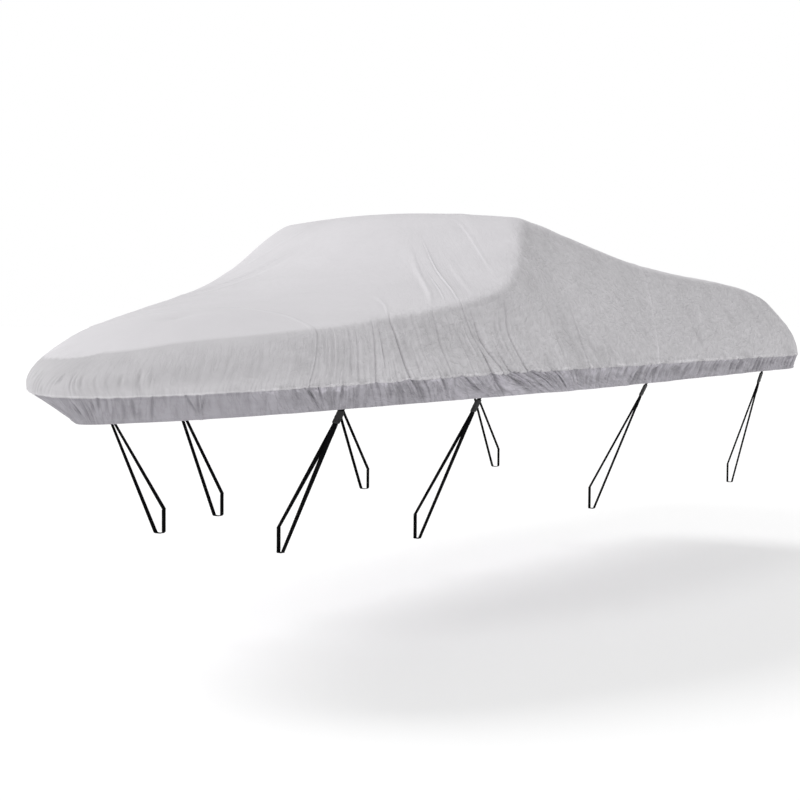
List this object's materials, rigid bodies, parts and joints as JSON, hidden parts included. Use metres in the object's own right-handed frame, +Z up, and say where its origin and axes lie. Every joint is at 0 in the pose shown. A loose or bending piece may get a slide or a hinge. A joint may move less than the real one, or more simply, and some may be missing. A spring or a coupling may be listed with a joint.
{
  "type": "boat cover",
  "caption": "Fitted trailer cover for a small boat: sewn cloth panels over bow, windshield and cockpit, with a skirt below and webbing straps that buckle round a rail.",
  "frame": {"origin": "underside of the cloth at the top of the windshield hump, on the centreline, where the boat inside holds the cover up", "axes": "+X aft from the bow, +Y to starboard, +Z up"},
  "size_m": [5.0621, 2.1022, 1.4674],
  "materials": {
    "upper_cloth": "matt woven polyester, light grey",
    "skirt_cloth": "matt woven polyester, a darker grey",
    "webbing": "black woven webbing",
    "buckle_plastic": "black moulded plastic"
  },
  "bodies": {
    "root": {"cover_bow": "upper_cloth", "cover_middle": "upper_cloth", "cover_stern": "upper_cloth", "skirt_bow": "skirt_cloth", "skirt_port": "skirt_cloth", "skirt_starboard": "skirt_cloth", "skirt_stern": "skirt_cloth", "tab_port_1": "webbing", "buckle_port_1": "buckle_plastic", "strap_port_1": "webbing", "tab_port_2": "webbing", "buckle_port_2": "buckle_plastic", "strap_port_2": "webbing", "tab_port_3": "webbing", "buckle_port_3": "buckle_plastic", "strap_port_3": "webbing", "tab_port_4": "webbing", "buckle_port_4": "buckle_plastic", "strap_port_4": "webbing", "tab_starboard_1": "webbing", "buckle_starboard_1": "buckle_plastic", "strap_starboard_1": "webbing", "tab_starboard_2": "webbing", "buckle_starboard_2": "buckle_plastic", "strap_starboard_2": "webbing", "tab_starboard_3": "webbing", "buckle_starboard_3": "buckle_plastic", "strap_starboard_3": "webbing", "tab_starboard_4": "webbing", "buckle_starboard_4": "buckle_plastic", "strap_starboard_4": "webbing"}
  },
  "joints": []
}
